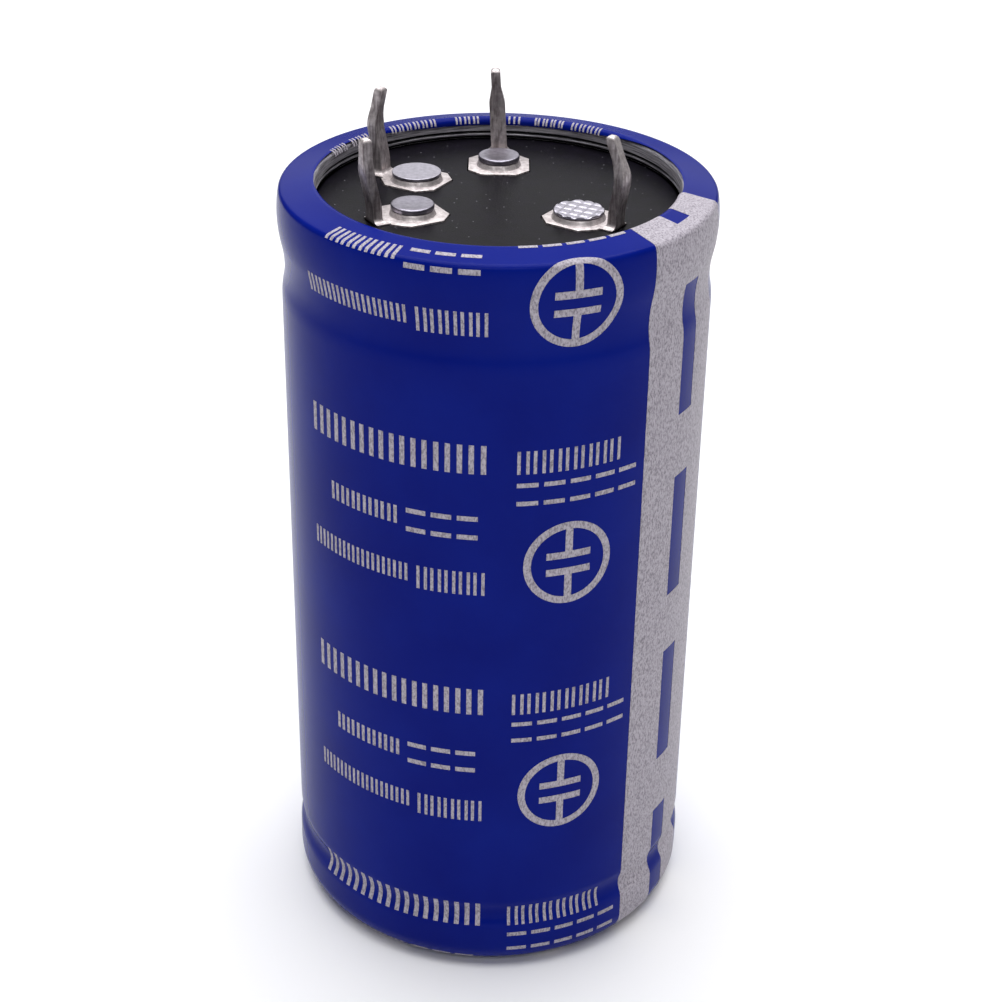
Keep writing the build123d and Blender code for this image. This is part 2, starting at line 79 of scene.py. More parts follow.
def add_node(
    tree: bpy.types.NodeTree,
    kind: str,
    settings: Optional[dict[str, Any]] = None,
    inputs: Optional[dict[Any, Any]] = None,
) -> bpy.types.Node:
    """Adds a node with its settings, and sets or links its inputs.

    Args:
        tree: The tree that gets the node.
        kind: The node's type name.
        settings: Attributes of the node, by name.
        inputs: Values or output sockets, by input name or number.

    Returns:
        The new node.
    """
    node = tree.nodes.new(kind)
    for name, value in (settings or {}).items():
        setattr(node, name, value)
    for key, value in (inputs or {}).items():
        socket = node.inputs[key]
        if isinstance(value, bpy.types.NodeSocket):
            tree.links.new(value, socket)
        else:
            socket.default_value = value
    return node


def colour_ramp(
    tree: bpy.types.NodeTree, fac: bpy.types.NodeSocket, stops: Sequence[tuple[float, Colour]]
) -> bpy.types.NodeSocket:
    """Adds a ramp between colours.

    Args:
        tree: The tree that gets the ramp.
        fac: The socket that drives it.
        stops: Places from 0 to 1, each with its colour.

    Returns:
        The ramp's colour socket.
    """
    node = add_node(tree, "ShaderNodeValToRGB", inputs={"Fac": fac})
    ramp = node.color_ramp
    while len(ramp.elements) < len(stops):
        ramp.elements.new(1.0)
    for element, (place, colour) in zip(ramp.elements, stops):
        element.position = place
        element.color = colour
    return node.outputs["Color"]


def grey(level: float) -> Colour:
    """A linear grey of one level, for ramps that drive a number."""
    return (level, level, level, 1.0)


def mesh_object(
    name: str, vertices: Iterable[Sequence[float]], faces: Iterable[Sequence[int]], smooth_deg: float = 35.0
) -> bpy.types.Object:
    """Makes an object from points in millimetres, with its normals turned outwards.

    Args:
        name: The piece's name.
        vertices: Points in millimetres.
        faces: Corner numbers of each face.
        smooth_deg: Edges sharper than this stay sharp.

    Returns:
        The object, at the origin and in metres.
    """
    mesh = bpy.data.meshes.new(name)
    mesh.from_pydata([tuple(c * MM for c in v) for v in vertices], [], [tuple(f) for f in faces])
    obj = bpy.data.objects.new(name, mesh)
    bpy.context.scene.collection.objects.link(obj)
    tidy(obj, smooth_deg)
    return obj


def tidy(obj: bpy.types.Object, smooth_deg: float, merge_mm: float = 1e-4) -> None:
    """Merges doubles, turns faces outwards and sets which edges look smooth.

    Args:
        obj: The object to tidy.
        smooth_deg: Edges sharper than this stay sharp.
        merge_mm: Points nearer than this become one.
    """
    work = bmesh.new()
    work.from_mesh(obj.data)
    bmesh.ops.remove_doubles(work, verts=work.verts, dist=merge_mm * MM)
    bmesh.ops.recalc_face_normals(work, faces=work.faces)
    limit = math.radians(smooth_deg)
    for face in work.faces:
        face.smooth = True
    for edge in work.edges:
        edge.smooth = len(edge.link_faces) != 2 or edge.calc_face_angle(0.0) < limit
    work.to_mesh(obj.data)
    work.free()
    obj.data.update()


def arc_points(centre: Point, radius: float, start: float, end: float, step_mm: float = 0.12) -> list[Point]:
    """Points of an arc.

    Args:
        centre: Its centre.
        radius: Its radius.
        start: Its first angle, from the outward direction.
        end: Its last angle.
        step_mm: The widest gap between points.

    Returns:
        The arc's points, both ends included.
    """
    count = max(4, math.ceil(abs(radius * (end - start)) / step_mm))
    angles = [start + (end - start) * k / count for k in range(count + 1)]
    return [(centre[0] + radius * math.cos(a), centre[1] + radius * math.sin(a)) for a in angles]


def ogee_points(start: Point, end: Point, step_mm: float = 0.15) -> list[Point]:
    """Points of two equal arcs that join two points with both ends upright.

    Args:
        start: The lower end.
        end: The upper end.
        step_mm: The widest gap between points.

    Returns:
        The curve's points, both ends included.
    """
    across = (end[0] - start[0]) / 2
    along = (end[1] - start[1]) / 2
    radius = (across**2 + along**2) / (2 * abs(across))
    side = math.copysign(1.0, across)
    turn = math.asin(along / radius)
    count = max(4, math.ceil(radius * turn / step_mm))
    first = []
    for k in range(count + 1):
        a = turn * k / count
        first.append((start[0] + side * radius * (1 - math.cos(a)), start[1] + radius * math.sin(a)))
    second = [(start[0] + end[0] - r, start[1] + end[1] - z) for r, z in reversed(first)]
    return first + second[1:]


def show(piece: bpy.types.Object, slot: str, *nodes: str) -> None:
    """Rides a piece on the part and hides the CAD nodes it stands for.

    Args:
        piece: The finished piece.
        slot: The record's material slot; not used.
        *nodes: CAD nodes that the piece replaces.
    """
    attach(piece, ROOT)
    if nodes:
        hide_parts(*nodes)
    log.info("%s: %d faces", piece.name, len(piece.data.polygons))


# ---------------------------------------------------------------- finishes


class Finish:
    """A procedural material, made once and shared by the pieces that wear it."""

    name = "finish"

    def paint(self, tree: bpy.types.NodeTree, shader: bpy.types.Node, place: bpy.types.NodeSocket) -> None:
        """Adds the finish's nodes to its shader."""
        raise NotImplementedError

    def material(self) -> bpy.types.Material:
        """The finish as a material, made on first use."""
        found = bpy.data.materials.get(self.name)
        if found:
            return found
        made = bpy.data.materials.new(self.name)
        made.use_nodes = True
        tree = made.node_tree
        tree.nodes.clear()
        shader = add_node(tree, "ShaderNodeBsdfPrincipled")
        add_node(tree, "ShaderNodeOutputMaterial", inputs={"Surface": shader.outputs["BSDF"]})
        place = add_node(tree, "ShaderNodeTexCoord").outputs["Object"]
        self.paint(tree, shader, place)
        return made


def noise(
    tree: bpy.types.NodeTree,
    place: bpy.types.NodeSocket,
    size_mm: float,
    detail: float = 2.0,
    stretch: tuple[float, float, float] = (1.0, 1.0, 1.0),
    roughness: float = 0.5,
) -> bpy.types.NodeSocket:
    """Adds a noise pattern with features of a real size.

    Args:
        tree: The material's tree.
        place: Object coordinates, in metres.
        size_mm: The size of one feature.
        detail: How many finer layers it has.
        stretch: Length of a feature along each axis, in features.
        roughness: How strong the finer layers are.

    Returns:
        The noise's value, about 0.5 in the middle.
    """
    scale = tuple(1 / (size_mm * MM * s) for s in stretch)
    mapped = add_node(tree, "ShaderNodeMapping", inputs={"Vector": place, "Scale": scale})
    made = add_node(
        tree,
        "ShaderNodeTexNoise",
        inputs={"Vector": mapped.outputs["Vector"], "Scale": 1.0, "Detail": detail, "Roughness": roughness},
    )
    return made.outputs["Fac"]


def bump(
    tree: bpy.types.NodeTree,
    shader: bpy.types.Node,
    height: bpy.types.NodeSocket,
    depth_mm: float,
    strength: float = 1.0,
) -> None:
    """Puts a height pattern on a shader as bump.

    Args:
        tree: The material's tree.
        shader: The shader that gets it.
        height: The pattern, from 0 to 1.
        depth_mm: The height that 1 stands for.
        strength: How much of it shows.
    """
    made = add_node(
        tree,
        "ShaderNodeBump",
        inputs={"Height": height, "Distance": depth_mm * MM, "Strength": strength},
    )
    tree.links.new(made.outputs["Normal"], shader.inputs["Normal"])


@dataclass(frozen=True)
class ShrunkPvc(Finish):
    """Heat-shrunk PVC film: deep blue and semi-gloss, drawn smooth with a faint ripple."""

    name: str = "shrunk_pvc_blue"
    colour: str = "#041474"
    worn: str = "#071B7E"

    def paint(self, tree: bpy.types.NodeTree, shader: bpy.types.Node, place: bpy.types.NodeSocket) -> None:
        """Blue that varies a little with the film's thickness, and soft ripples."""
        cloud = noise(tree, place, 9.0, detail=3.0)
        colour = colour_ramp(tree, cloud, [(0.35, srgb(self.colour)), (0.7, srgb(self.worn))])
        tree.links.new(colour, shader.inputs["Base Color"])
        shader.inputs["Roughness"].default_value = 0.24
        shader.inputs["IOR"].default_value = 1.53
        shader.inputs["Specular IOR Level"].default_value = 0.045
        ripple = noise(tree, place, 2.6, detail=1.0, stretch=(1.0, 1.0, 2.5))
        bump(tree, shader, ripple, 0.012)


@dataclass(frozen=True)
class SilverInk(Finish):
    """Aluminium-flake ink on the film: warm grey with dark upright flecks between flakes."""

    name: str = "silver_flake_ink"
    colour: str = "#AEA8B2"
    fleck: str = "#827C86"
    glint: str = "#BFB9C3"

    def paint(self, tree: bpy.types.NodeTree, shader: bpy.types.Node, place: bpy.types.NodeSocket) -> None:
        """Grey flakes under a matt binder, with flecks about 0.3 mm long."""
        flakes = noise(tree, place, 0.15, detail=2.5, stretch=(1.0, 1.0, 2.0), roughness=0.7)
        stops = [(0.38, srgb(self.fleck)), (0.52, srgb(self.colour)), (0.7, srgb(self.glint))]
        colour = colour_ramp(tree, flakes, stops)
        tree.links.new(colour, shader.inputs["Base Color"])
        shader.inputs["Specular IOR Level"].default_value = 0.2
        shader.inputs["Roughness"].default_value = 0.5
        bump(tree, shader, flakes, 0.02, 0.5)


@dataclass(frozen=True)
class CurledAluminium(Finish):
    """Bare drawn aluminium, with fine rings rolled in by the curling tool.

    The groove above the rolled edge and the corner under it are darkened with painted shade, so
    the edge shows as one thin bright line between two dark ones.
    """

    name: str = "curled_aluminium"
    colour: str = "#DAD7DE"
    score: str = "#85828C"
    header_top: float = 65.98
    face_foot: float = 0.72
    edge_top: float = 0.43
    edge_foot: float = 0.19

    def paint(self, tree: bpy.types.NodeTree, shader: bpy.types.Node, place: bpy.types.NodeSocket) -> None:
        """Bright metal, ringed at the lip and plain below it, with bands of painted shade at the lip."""
        height = add_node(tree, "ShaderNodeSeparateXYZ", inputs={0: place}).outputs["Z"]
        top = self.header_top + self.face_foot
        level = add_node(
            tree,
            "ShaderNodeMapRange",
            inputs={"Value": height, "From Min": self.header_top * MM, "From Max": top * MM},
        )
        rolled = noise(tree, place, 0.09, detail=3.0, stretch=(28.0, 28.0, 1.0), roughness=0.6)
        drawn = colour_ramp(tree, level.outputs["Result"], [(0.0, grey(1.0)), (0.02, grey(0.0))])
        rings = add_node(tree, "ShaderNodeMath", {"operation": "MAXIMUM"}, {0: rolled, 1: drawn}).outputs[0]
        colour = colour_ramp(tree, rings, [(0.36, srgb(self.score)), (0.58, srgb(self.colour))])
        # Painted shade: dark bands by height, in the corner under the rolled edge and in the groove above it,
        # are multiplied into the metal's colour.
        foot, edge, soft = self.edge_foot / self.face_foot, self.edge_top / self.face_foot, 0.06
        stops = [(0.0, 1.0), (0.02, 0.03), (foot - soft, 0.03), (foot + soft, 1.0)]
        stops += [(edge - soft, 1.0), (edge + soft, 0.05)]
        stops += [(1 - soft, 0.05), (1.0, 1.0)]
        dust_and_painted_shade = colour_ramp(tree, level.outputs["Result"], [(spot, grey(value)) for spot, value in stops])
        shade_banded = add_node(
            tree,
            "ShaderNodeMix",
            {"data_type": "RGBA", "blend_type": "MULTIPLY"},
            {"Factor": 1.0, "A": colour, "B": dust_and_painted_shade},
        )
        tree.links.new(shade_banded.outputs["Result"], shader.inputs["Base Color"])
        shader.inputs["Metallic"].default_value = 1.0
        shader.inputs["Roughness"].default_value = 0.6
        bump(tree, shader, rings, 0.05, 0.8)


@dataclass(frozen=True)
class HeaderRubberFinish(Finish):
    """Moulded black rubber: matt charcoal with lint and dust specks.

    The punched plates sit sunk in it; a thin painted shade from ambient occlusion darkens the rubber and
    lowers its gloss round each of them.
    """

    name: str = "header_rubber_black"
    colour: str = "#100D16"
    shade: str = "#0B0A0E"
    dust_and_painted_shade: str = "#8E8C95"
    corner_mm: float = 0.4

    def paint(self, tree: bpy.types.NodeTree, shader: bpy.types.Node, place: bpy.types.NodeSocket) -> None:
        """Charcoal with sparse pale specks a tenth of a millimetre across."""
        cloud = noise(tree, place, 1.4, detail=4.0)
        ground = colour_ramp(tree, cloud, [(0.3, srgb(self.shade)), (0.7, srgb(self.colour))])
        # Painted shade: ambient occlusion darkens the colour, and lowers the gloss, where the rubber meets
        # the plates, blades and rivets.
        reach = {"Distance": self.corner_mm * MM}
        corner = add_node(tree, "ShaderNodeAmbientOcclusion", {"samples": 12}, reach)
        painted_corner_shade = colour_ramp(tree, corner.outputs["AO"], [(0.62, grey(0.0)), (0.93, grey(1.0))])
        scale = 1 / (0.8 * MM)
        cells = add_node(
            tree,
            "ShaderNodeTexVoronoi",
            inputs={"Vector": place, "Scale": scale, "Randomness": 1.0},
        )
        speck = colour_ramp(tree, cells.outputs["Distance"], [(0.035, grey(0.9)), (0.085, grey(0.0))])
        mixed = add_node(
            tree,
            "ShaderNodeMix",
            {"data_type": "RGBA"},
            {"Factor": speck, "A": ground, "B": srgb(self.dust_and_painted_shade)},
        )
        corner_shaded = add_node(
            tree,
            "ShaderNodeMix",
            {"data_type": "RGBA", "blend_type": "MULTIPLY"},
            {"Factor": 1.0, "A": mixed.outputs["Result"], "B": painted_corner_shade},
        )
        tree.links.new(corner_shaded.outputs["Result"], shader.inputs["Base Color"])
        gloss = colour_ramp(tree, painted_corner_shade, [(0.0, grey(0.0)), (1.0, grey(0.055))])
        tree.links.new(gloss, shader.inputs["Specular IOR Level"])
        shader.inputs["Roughness"].default_value = 0.36
        shader.inputs["IOR"].default_value = 1.5
        grain = noise(tree, place, 0.12, detail=2.0)
        bump(tree, shader, grain, 0.012)


@dataclass(frozen=True)
class TinPlate(Finish):
    """Tin-plated steel strip, stamped: warm grey, dull, with rubbed and oxidised patches.

    The blades were drawn up through the bending tool, so their upright faces carry long dark
    scores where the tin is thin.
    """

    name: str = "tin_plate_dull"
    colour: str = "#E2DADA"
    dull: str = "#AEA5A6"
    score: str = "#62585A"

    def paint(self, tree: bpy.types.NodeTree, shader: bpy.types.Node, place: bpy.types.NodeSocket) -> None:
        """Metal whose brightness and roughness change in blotches under a millimetre."""
        blotch = noise(tree, place, 0.55, detail=5.0, roughness=0.65)
        colour = colour_ramp(tree, blotch, [(0.34, srgb(self.dull)), (0.62, srgb(self.colour))])
        facing = add_node(tree, "ShaderNodeNewGeometry").outputs["Normal"]
        lift = add_node(tree, "ShaderNodeSeparateXYZ", inputs={0: facing}).outputs["Z"]
        upright = colour_ramp(tree, lift, [(0.15, grey(1.0)), (0.5, grey(0.0))])
        drawn = noise(tree, place, 0.2, detail=3.0, stretch=(1.0, 1.0, 12.0))
        lines = colour_ramp(tree, drawn, [(0.36, grey(0.75)), (0.56, grey(0.25))])
        scored = add_node(tree, "ShaderNodeMath", {"operation": "MULTIPLY"}, {0: upright, 1: lines})
        worn = add_node(
            tree,
            "ShaderNodeMix",
            {"data_type": "RGBA"},
            {"Factor": scored.outputs[0], "A": colour, "B": srgb(self.score)},
        )
        tree.links.new(worn.outputs["Result"], shader.inputs["Base Color"])
        rough = colour_ramp(tree, blotch, [(0.3, grey(0.55)), (0.7, grey(0.36))])
        tree.links.new(rough, shader.inputs["Roughness"])
        shader.inputs["Metallic"].default_value = 0.75
        bump(tree, shader, blotch, 0.03, 0.6)


@dataclass(frozen=True)
class RivetAluminium(Finish):
    """Cold-headed aluminium rivet: satin and pale, with a fine burnish."""

    name: str = "rivet_aluminium_satin"
    colour: str = "#BDB9C5"
    shade: str = "#A3A0AB"

    def paint(self, tree: bpy.types.NodeTree, shader: bpy.types.Node, place: bpy.types.NodeSocket) -> None:
        """Satin metal with a slight cloud."""
        cloud = noise(tree, place, 0.4, detail=4.0, roughness=0.6)
        colour = colour_ramp(tree, cloud, [(0.3, srgb(self.shade)), (0.65, srgb(self.colour))])
        tree.links.new(colour, shader.inputs["Base Color"])
        shader.inputs["Metallic"].default_value = 1.0
        shader.inputs["Roughness"].default_value = 0.34
        bump(tree, shader, cloud, 0.015, 0.5)


@dataclass(frozen=True)
class PlainSheet(Finish):
    """A hidden moulded or cut piece: one colour with a faint mottle."""

    name: str = "plain_sheet"
    colour: str = "#C8C6BE"
    shade: str = "#B7B5AC"
    rough: float = 0.5
    metal: float = 0.0

    def paint(self, tree: bpy.types.NodeTree, shader: bpy.types.Node, place: bpy.types.NodeSocket) -> None:
        """Two close tones in soft patches."""
        cloud = noise(tree, place, 2.0, detail=3.0)
        colour = colour_ramp(tree, cloud, [(0.35, srgb(self.shade)), (0.65, srgb(self.colour))])
        tree.links.new(colour, shader.inputs["Base Color"])
        shader.inputs["Roughness"].default_value = self.rough
        shader.inputs["Metallic"].default_value = self.metal


@dataclass(frozen=True)
class PaleFloor(Finish):
    """Matt white card that the part stands on."""

    name: str = "pale_card"
    colour: str = "#F4F4F6"

    def paint(self, tree: bpy.types.NodeTree, shader: bpy.types.Node, place: bpy.types.NodeSocket) -> None:
        """Plain matt white."""
        shader.inputs["Base Color"].default_value = srgb(self.colour)
        shader.inputs["Roughness"].default_value = 0.9


PHENOLIC = PlainSheet("phenolic_brown", "#5A3A24", "#4A2F1D", 0.55)
INSULATOR = PlainSheet("polypropylene_natural", "#D2D0C8", "#C2C0B6", 0.45)
TAPE = PlainSheet("polyester_tape", "#B89A44", "#A58938", 0.35)
FOIL = PlainSheet("plain_foil", "#C9C9CC", "#B5B5B9", 0.3, 1.0)
DULL_RIVET = RivetAluminium("rivet_aluminium_dull", "#A5A1AD", "#87838F")
ROLL = PlainSheet("carbon_coated_roll", "#2A2A2C", "#1E1E20", 0.6)


# ---------------------------------------------------------------- sleeve


@dataclass(frozen=True)
class BodyProfile:
    """The sleeve's section, in millimetres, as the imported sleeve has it."""

    height: float = 67.85
    wall_radius: float = 17.75
    foot_bulge: float = 0.10
    foot_corner: float = 2.6
    foot_height: float = 4.4
    groove_depth: float = 0.30
    groove_middle: float = 6.1
    groove_top: float = 7.7
    hollow_bottom: float = 58.2
    hollow_middle: float = 60.7
    hollow_depth: float = 0.27
    rim_bulge: float = 0.22
    rim_level: float = 65.3
    rim_taper: float = 0.14
    rim_corner: float = 0.5
    crown_fall: float = 0.43
    lip_radius: float = 14.6
    lip_round: float = 0.5
    lip_drop: float = 0.6
    base_opening: float = 13.5

    def foot(self, inset: float) -> list[Point]:
        """Base, foot corner and swaged ring, up to the straight wall.

        Args:
            inset: How far inside the sleeve's outer surface the line runs.

        Returns:
            Radius and height of each point, from the base opening up.
        """
        radius = self.wall_radius + self.foot_bulge
        centre = (radius - self.foot_corner, self.foot_corner)
        flat_end = radius - self.foot_corner
        count = 8
        flat = [(self.base_opening + (flat_end - self.base_opening) * k / count, inset) for k in range(count)]
        corner = arc_points(centre, self.foot_corner - inset, -math.pi / 2, 0.0, 0.2)
        valley = (self.wall_radius - self.groove_depth - inset, self.groove_middle)
        down = ogee_points((radius - inset, self.foot_height), valley)
        up = ogee_points(valley, (self.wall_radius - inset, self.groove_top))
        return flat + corner + down + up[1:]

    def rim(self, inset: float) -> list[Point]:
        """Hollow under the header, rim, crowned top and lip.

        Args:
            inset: How far inside the sleeve's outer surface the line runs.

        Returns:
            Radius and height of each point, from the straight wall up and over.
        """
        rim_radius = self.wall_radius + self.rim_bulge
        valley = (self.wall_radius - self.hollow_depth - inset, self.hollow_middle)
        points = ogee_points((self.wall_radius - inset, self.hollow_bottom), valley)
        points += ogee_points(valley, (rim_radius - inset, self.rim_level))[1:]
        set_in = self.rim_taper + self.rim_corner
        corner = (rim_radius - set_in, self.height - self.crown_fall - self.rim_corner)
        lip = (self.lip_radius + self.lip_round, self.height - self.lip_round)
        rise = corner[1] - self.rim_level
        curve = (set_in**2 + rise**2 - self.rim_corner**2) / (2 * self.rim_taper)
        slope = math.atan2(rise, curve - set_in)
        across, fall = corner[0] - lip[0], lip[1] - corner[1]
        lean = math.asin((self.lip_round - self.rim_corner) / math.hypot(across, fall))
        crown = math.pi / 2 - math.atan2(fall, across) - lean
        points += arc_points((rim_radius - curve, self.rim_level), curve - inset, 0.0, slope, 0.3)[1:]
        edge = arc_points(corner, self.rim_corner - inset, slope, crown, 0.08)
        round_in = arc_points(lip, self.lip_round - inset, crown, math.pi, 0.08)
        start, end = edge[-1], round_in[0]
        run = (end[0] - start[0], end[1] - start[1])
        top = [(start[0] + run[0] * k / 8, start[1] + run[1] * k / 8) for k in range(1, 8)]
        return points + edge[1:] + top + round_in + [(self.lip_radius + inset, self.height - self.lip_drop)]

    def line(self, wall_steps: int = 60) -> list[Point]:
        """The whole outer line, from the base opening to the lip's end.

        Args:
            wall_steps: Pieces of the straight wall.

        Returns:
            Radius and height of each point.
        """
        low, high = self.groove_top, self.hollow_bottom
        wall = [(self.wall_radius, low + (high - low) * k / wall_steps) for k in range(1, wall_steps)]
        return self.foot(0.0) + wall + self.rim(0.0)


class Surface:
    """The sleeve's outer surface, addressed by angle and by length along its section.

    On the straight wall the length along the section equals the height.
    """

    def __init__(self, profile: BodyProfile) -> None:
        """Measures the section line.

        Args:
            profile: The body's section.
        """
        self.profile = profile
        self.points = profile.line()
        steps = [math.dist(a, b) for a, b in zip(self.points, self.points[1:])]
        lengths = [0.0]
        for step in steps:
            lengths.append(lengths[-1] + step)
        foot_end = (profile.wall_radius, profile.groove_top)
        gaps = [math.dist(point, foot_end) for point in self.points]
        wall = gaps.index(min(gaps))
        shift = self.points[wall][1] - lengths[wall]
        self.lengths = [value + shift for value in lengths]
        self.normals = [self.normal(k) for k in range(len(self.points))]
        self.start, self.end = self.lengths[0], self.lengths[-1]

    def normal(self, k: int) -> Point:
        """The outward direction at a point of the section line."""
        before = self.points[max(0, k - 1)]
        after = self.points[min(len(self.points) - 1, k + 1)]
        along = (after[0] - before[0], after[1] - before[1])
        size = math.hypot(*along)
        return (along[1] / size, -along[0] / size)

    def pull(self, angle: float, height: float) -> float:
        """How far the film is drawn in or stands off, from its uneven shrinking.

        Args:
            angle: Where round the body.
            height: Height above the base.

        Returns:
            Extra radius in millimetres.
        """
        ends = math.exp(-(((height - 6.0) / 2.2) ** 2)) + math.exp(-(((height - 61.0) / 2.4) ** 2))
        wave = math.sin(3 * angle + 0.8)
        wave += 0.6 * math.sin(7 * angle + height / 5)
        wave += 0.4 * math.sin(13 * angle + 2)
        return 0.018 * ends * wave

    def place(self, angle: float, length: float, proud: float) -> tuple[float, float, float]:
        """The point at an angle and a length along the section.

        Args:
            angle: Where round the body, from +X.
            length: Length along the section.
            proud: Height above the surface, in millimetres.

        Returns:
            The point in millimetres.
        """
        k = min(max(bisect.bisect_right(self.lengths, length) - 1, 0), len(self.points) - 2)
        part = (length - self.lengths[k]) / (self.lengths[k + 1] - self.lengths[k])
        part = min(max(part, 0.0), 1.0)
        spot = [a + (b - a) * part for a, b in zip(self.points[k], self.points[k + 1])]
        out = [a + (b - a) * part for a, b in zip(self.normals[k], self.normals[k + 1])]
        size = math.hypot(*out)
        radius = spot[0] + proud * out[0] / size + self.pull(angle, spot[1])
        return (radius * math.cos(angle), radius * math.sin(angle), spot[1] + proud * out[1] / size)


@dataclass
class Sleeve:
    """The shrink sleeve, turned in over the rim and under the base."""

    surface: Surface
    thickness: float = 0.2
    lip_length: float = 1.5
    segments: int = 320
    finish: Finish = field(default_factory=ShrunkPvc)

    def drawn_back(self, angle: float) -> float:
        """How far the lip has shrunk back towards the crown, which is most at the sides."""
        turn = math.degrees(abs(math.remainder(angle - math.pi / 2, 2 * math.pi)))
        rise = min(max((turn - 22) / 42, 0.0), 1.0)
        fall = min(max((turn - 100) / 50, 0.0), 1.0)
        return 0.7 * (rise**2 * (3 - 2 * rise)) * (1 - fall)

    def build(self) -> bpy.types.Object:
        """Makes the sleeve as two skins joined at both ends.

        Returns:
            The sleeve.
        """
        surface = self.surface
        lip = surface.end - self.lip_length
        rows = [(length, 0.0) for length in surface.lengths]
        rows += [(length, -self.thickness) for length in reversed(surface.lengths[::2])]
        vertices = []
        for length, proud in rows:
            for k in range(self.segments):
                angle = 2 * math.pi * k / self.segments
                share = max(0.0, length - lip) / (surface.end - lip)
                vertices.append(surface.place(angle, length - share * self.drawn_back(angle), proud))
        faces = []
        for row in range(len(rows)):
            below, above = row * self.segments, (row + 1) % len(rows) * self.segments
            for k in range(self.segments):
                j = (k + 1) % self.segments
                faces.append((below + k, below + j, above + j, above + k))
        piece = mesh_object("sleeve_film", vertices, faces)
        piece.data.materials.append(self.finish.material())
        show(piece, "sleeve_pvc", "sleeve")
        return piece


# ---------------------------------------------------------------- print


Box = tuple[float, float, float, float]


class MarkStyle(Enum):
    """What stands at each place of a printed row."""

    TWIN_BARS = "two upright bars"
    TWIN_DASHES = "two level dashes"


@dataclass(frozen=True)
class MarkRow:
    """A printed row of plain marks, in millimetres round and along the film."""

    start: float
    end: float
    low: float
    high: float
    places: int
    stroke: float
    style: MarkStyle = MarkStyle.TWIN_BARS
    gap: float = 0.3

    def boxes(self) -> list[Box]:
        """The row's boxes: left, right, low and high."""
        step = (self.end - self.start + self.gap) / self.places
        made: list[Box] = []
        for k in range(self.places):
            left = self.start + k * step
            right = left + step - self.gap
            if self.style is MarkStyle.TWIN_BARS:
                made.append((left, left + self.stroke, self.low, self.high))
                made.append((right - self.stroke, right, self.low, self.high))
            else:
                made.append((left, right, self.low, self.low + self.stroke))
                made.append((left, right, self.high - self.stroke, self.high))
        return made


@dataclass(frozen=True)
class TwoPlateSign:
    """The capacitor sign of circuit drawings, two plates with leads, in a plain ring."""

    across: float
    along: float
    radius: float = 3.75
    stroke: float = 0.62

    def boxes(self) -> list[Box]:
        """The two plates and their leads."""
        x, y, half = self.across, self.along, self.stroke / 2
        plate, gap = 0.5 * self.radius, 0.2 * self.radius
        return [
            (x - plate, x + plate, y + gap - half, y + gap + half),
            (x - plate, x + plate, y - gap - half, y - gap + half),
            (x - half, x + half, y + gap + half, y + self.radius - self.stroke),
            (x - half, x + half, y - self.radius + self.stroke, y - gap - half),
        ]

    def ring(self, parts: int = 110, rings: int = 3) -> tuple[list[Point3], list[tuple[int, ...]]]:
        """The ring's points and faces."""
        points = []
        faces = []
        for k in range(parts):
            angle = 2 * math.pi * k / parts
            for step in range(rings + 1):
                radius = self.radius - self.stroke * step / rings
                x, y = radius * math.cos(angle), radius * math.sin(angle)
                points.append((self.across + x, self.along + y, 0.0))
            here, there = k * (rings + 1), (k + 1) % parts * (rings + 1)
            faces += [(here + s, here + s + 1, there + s + 1, there + s) for s in range(rings)]
        return points, faces


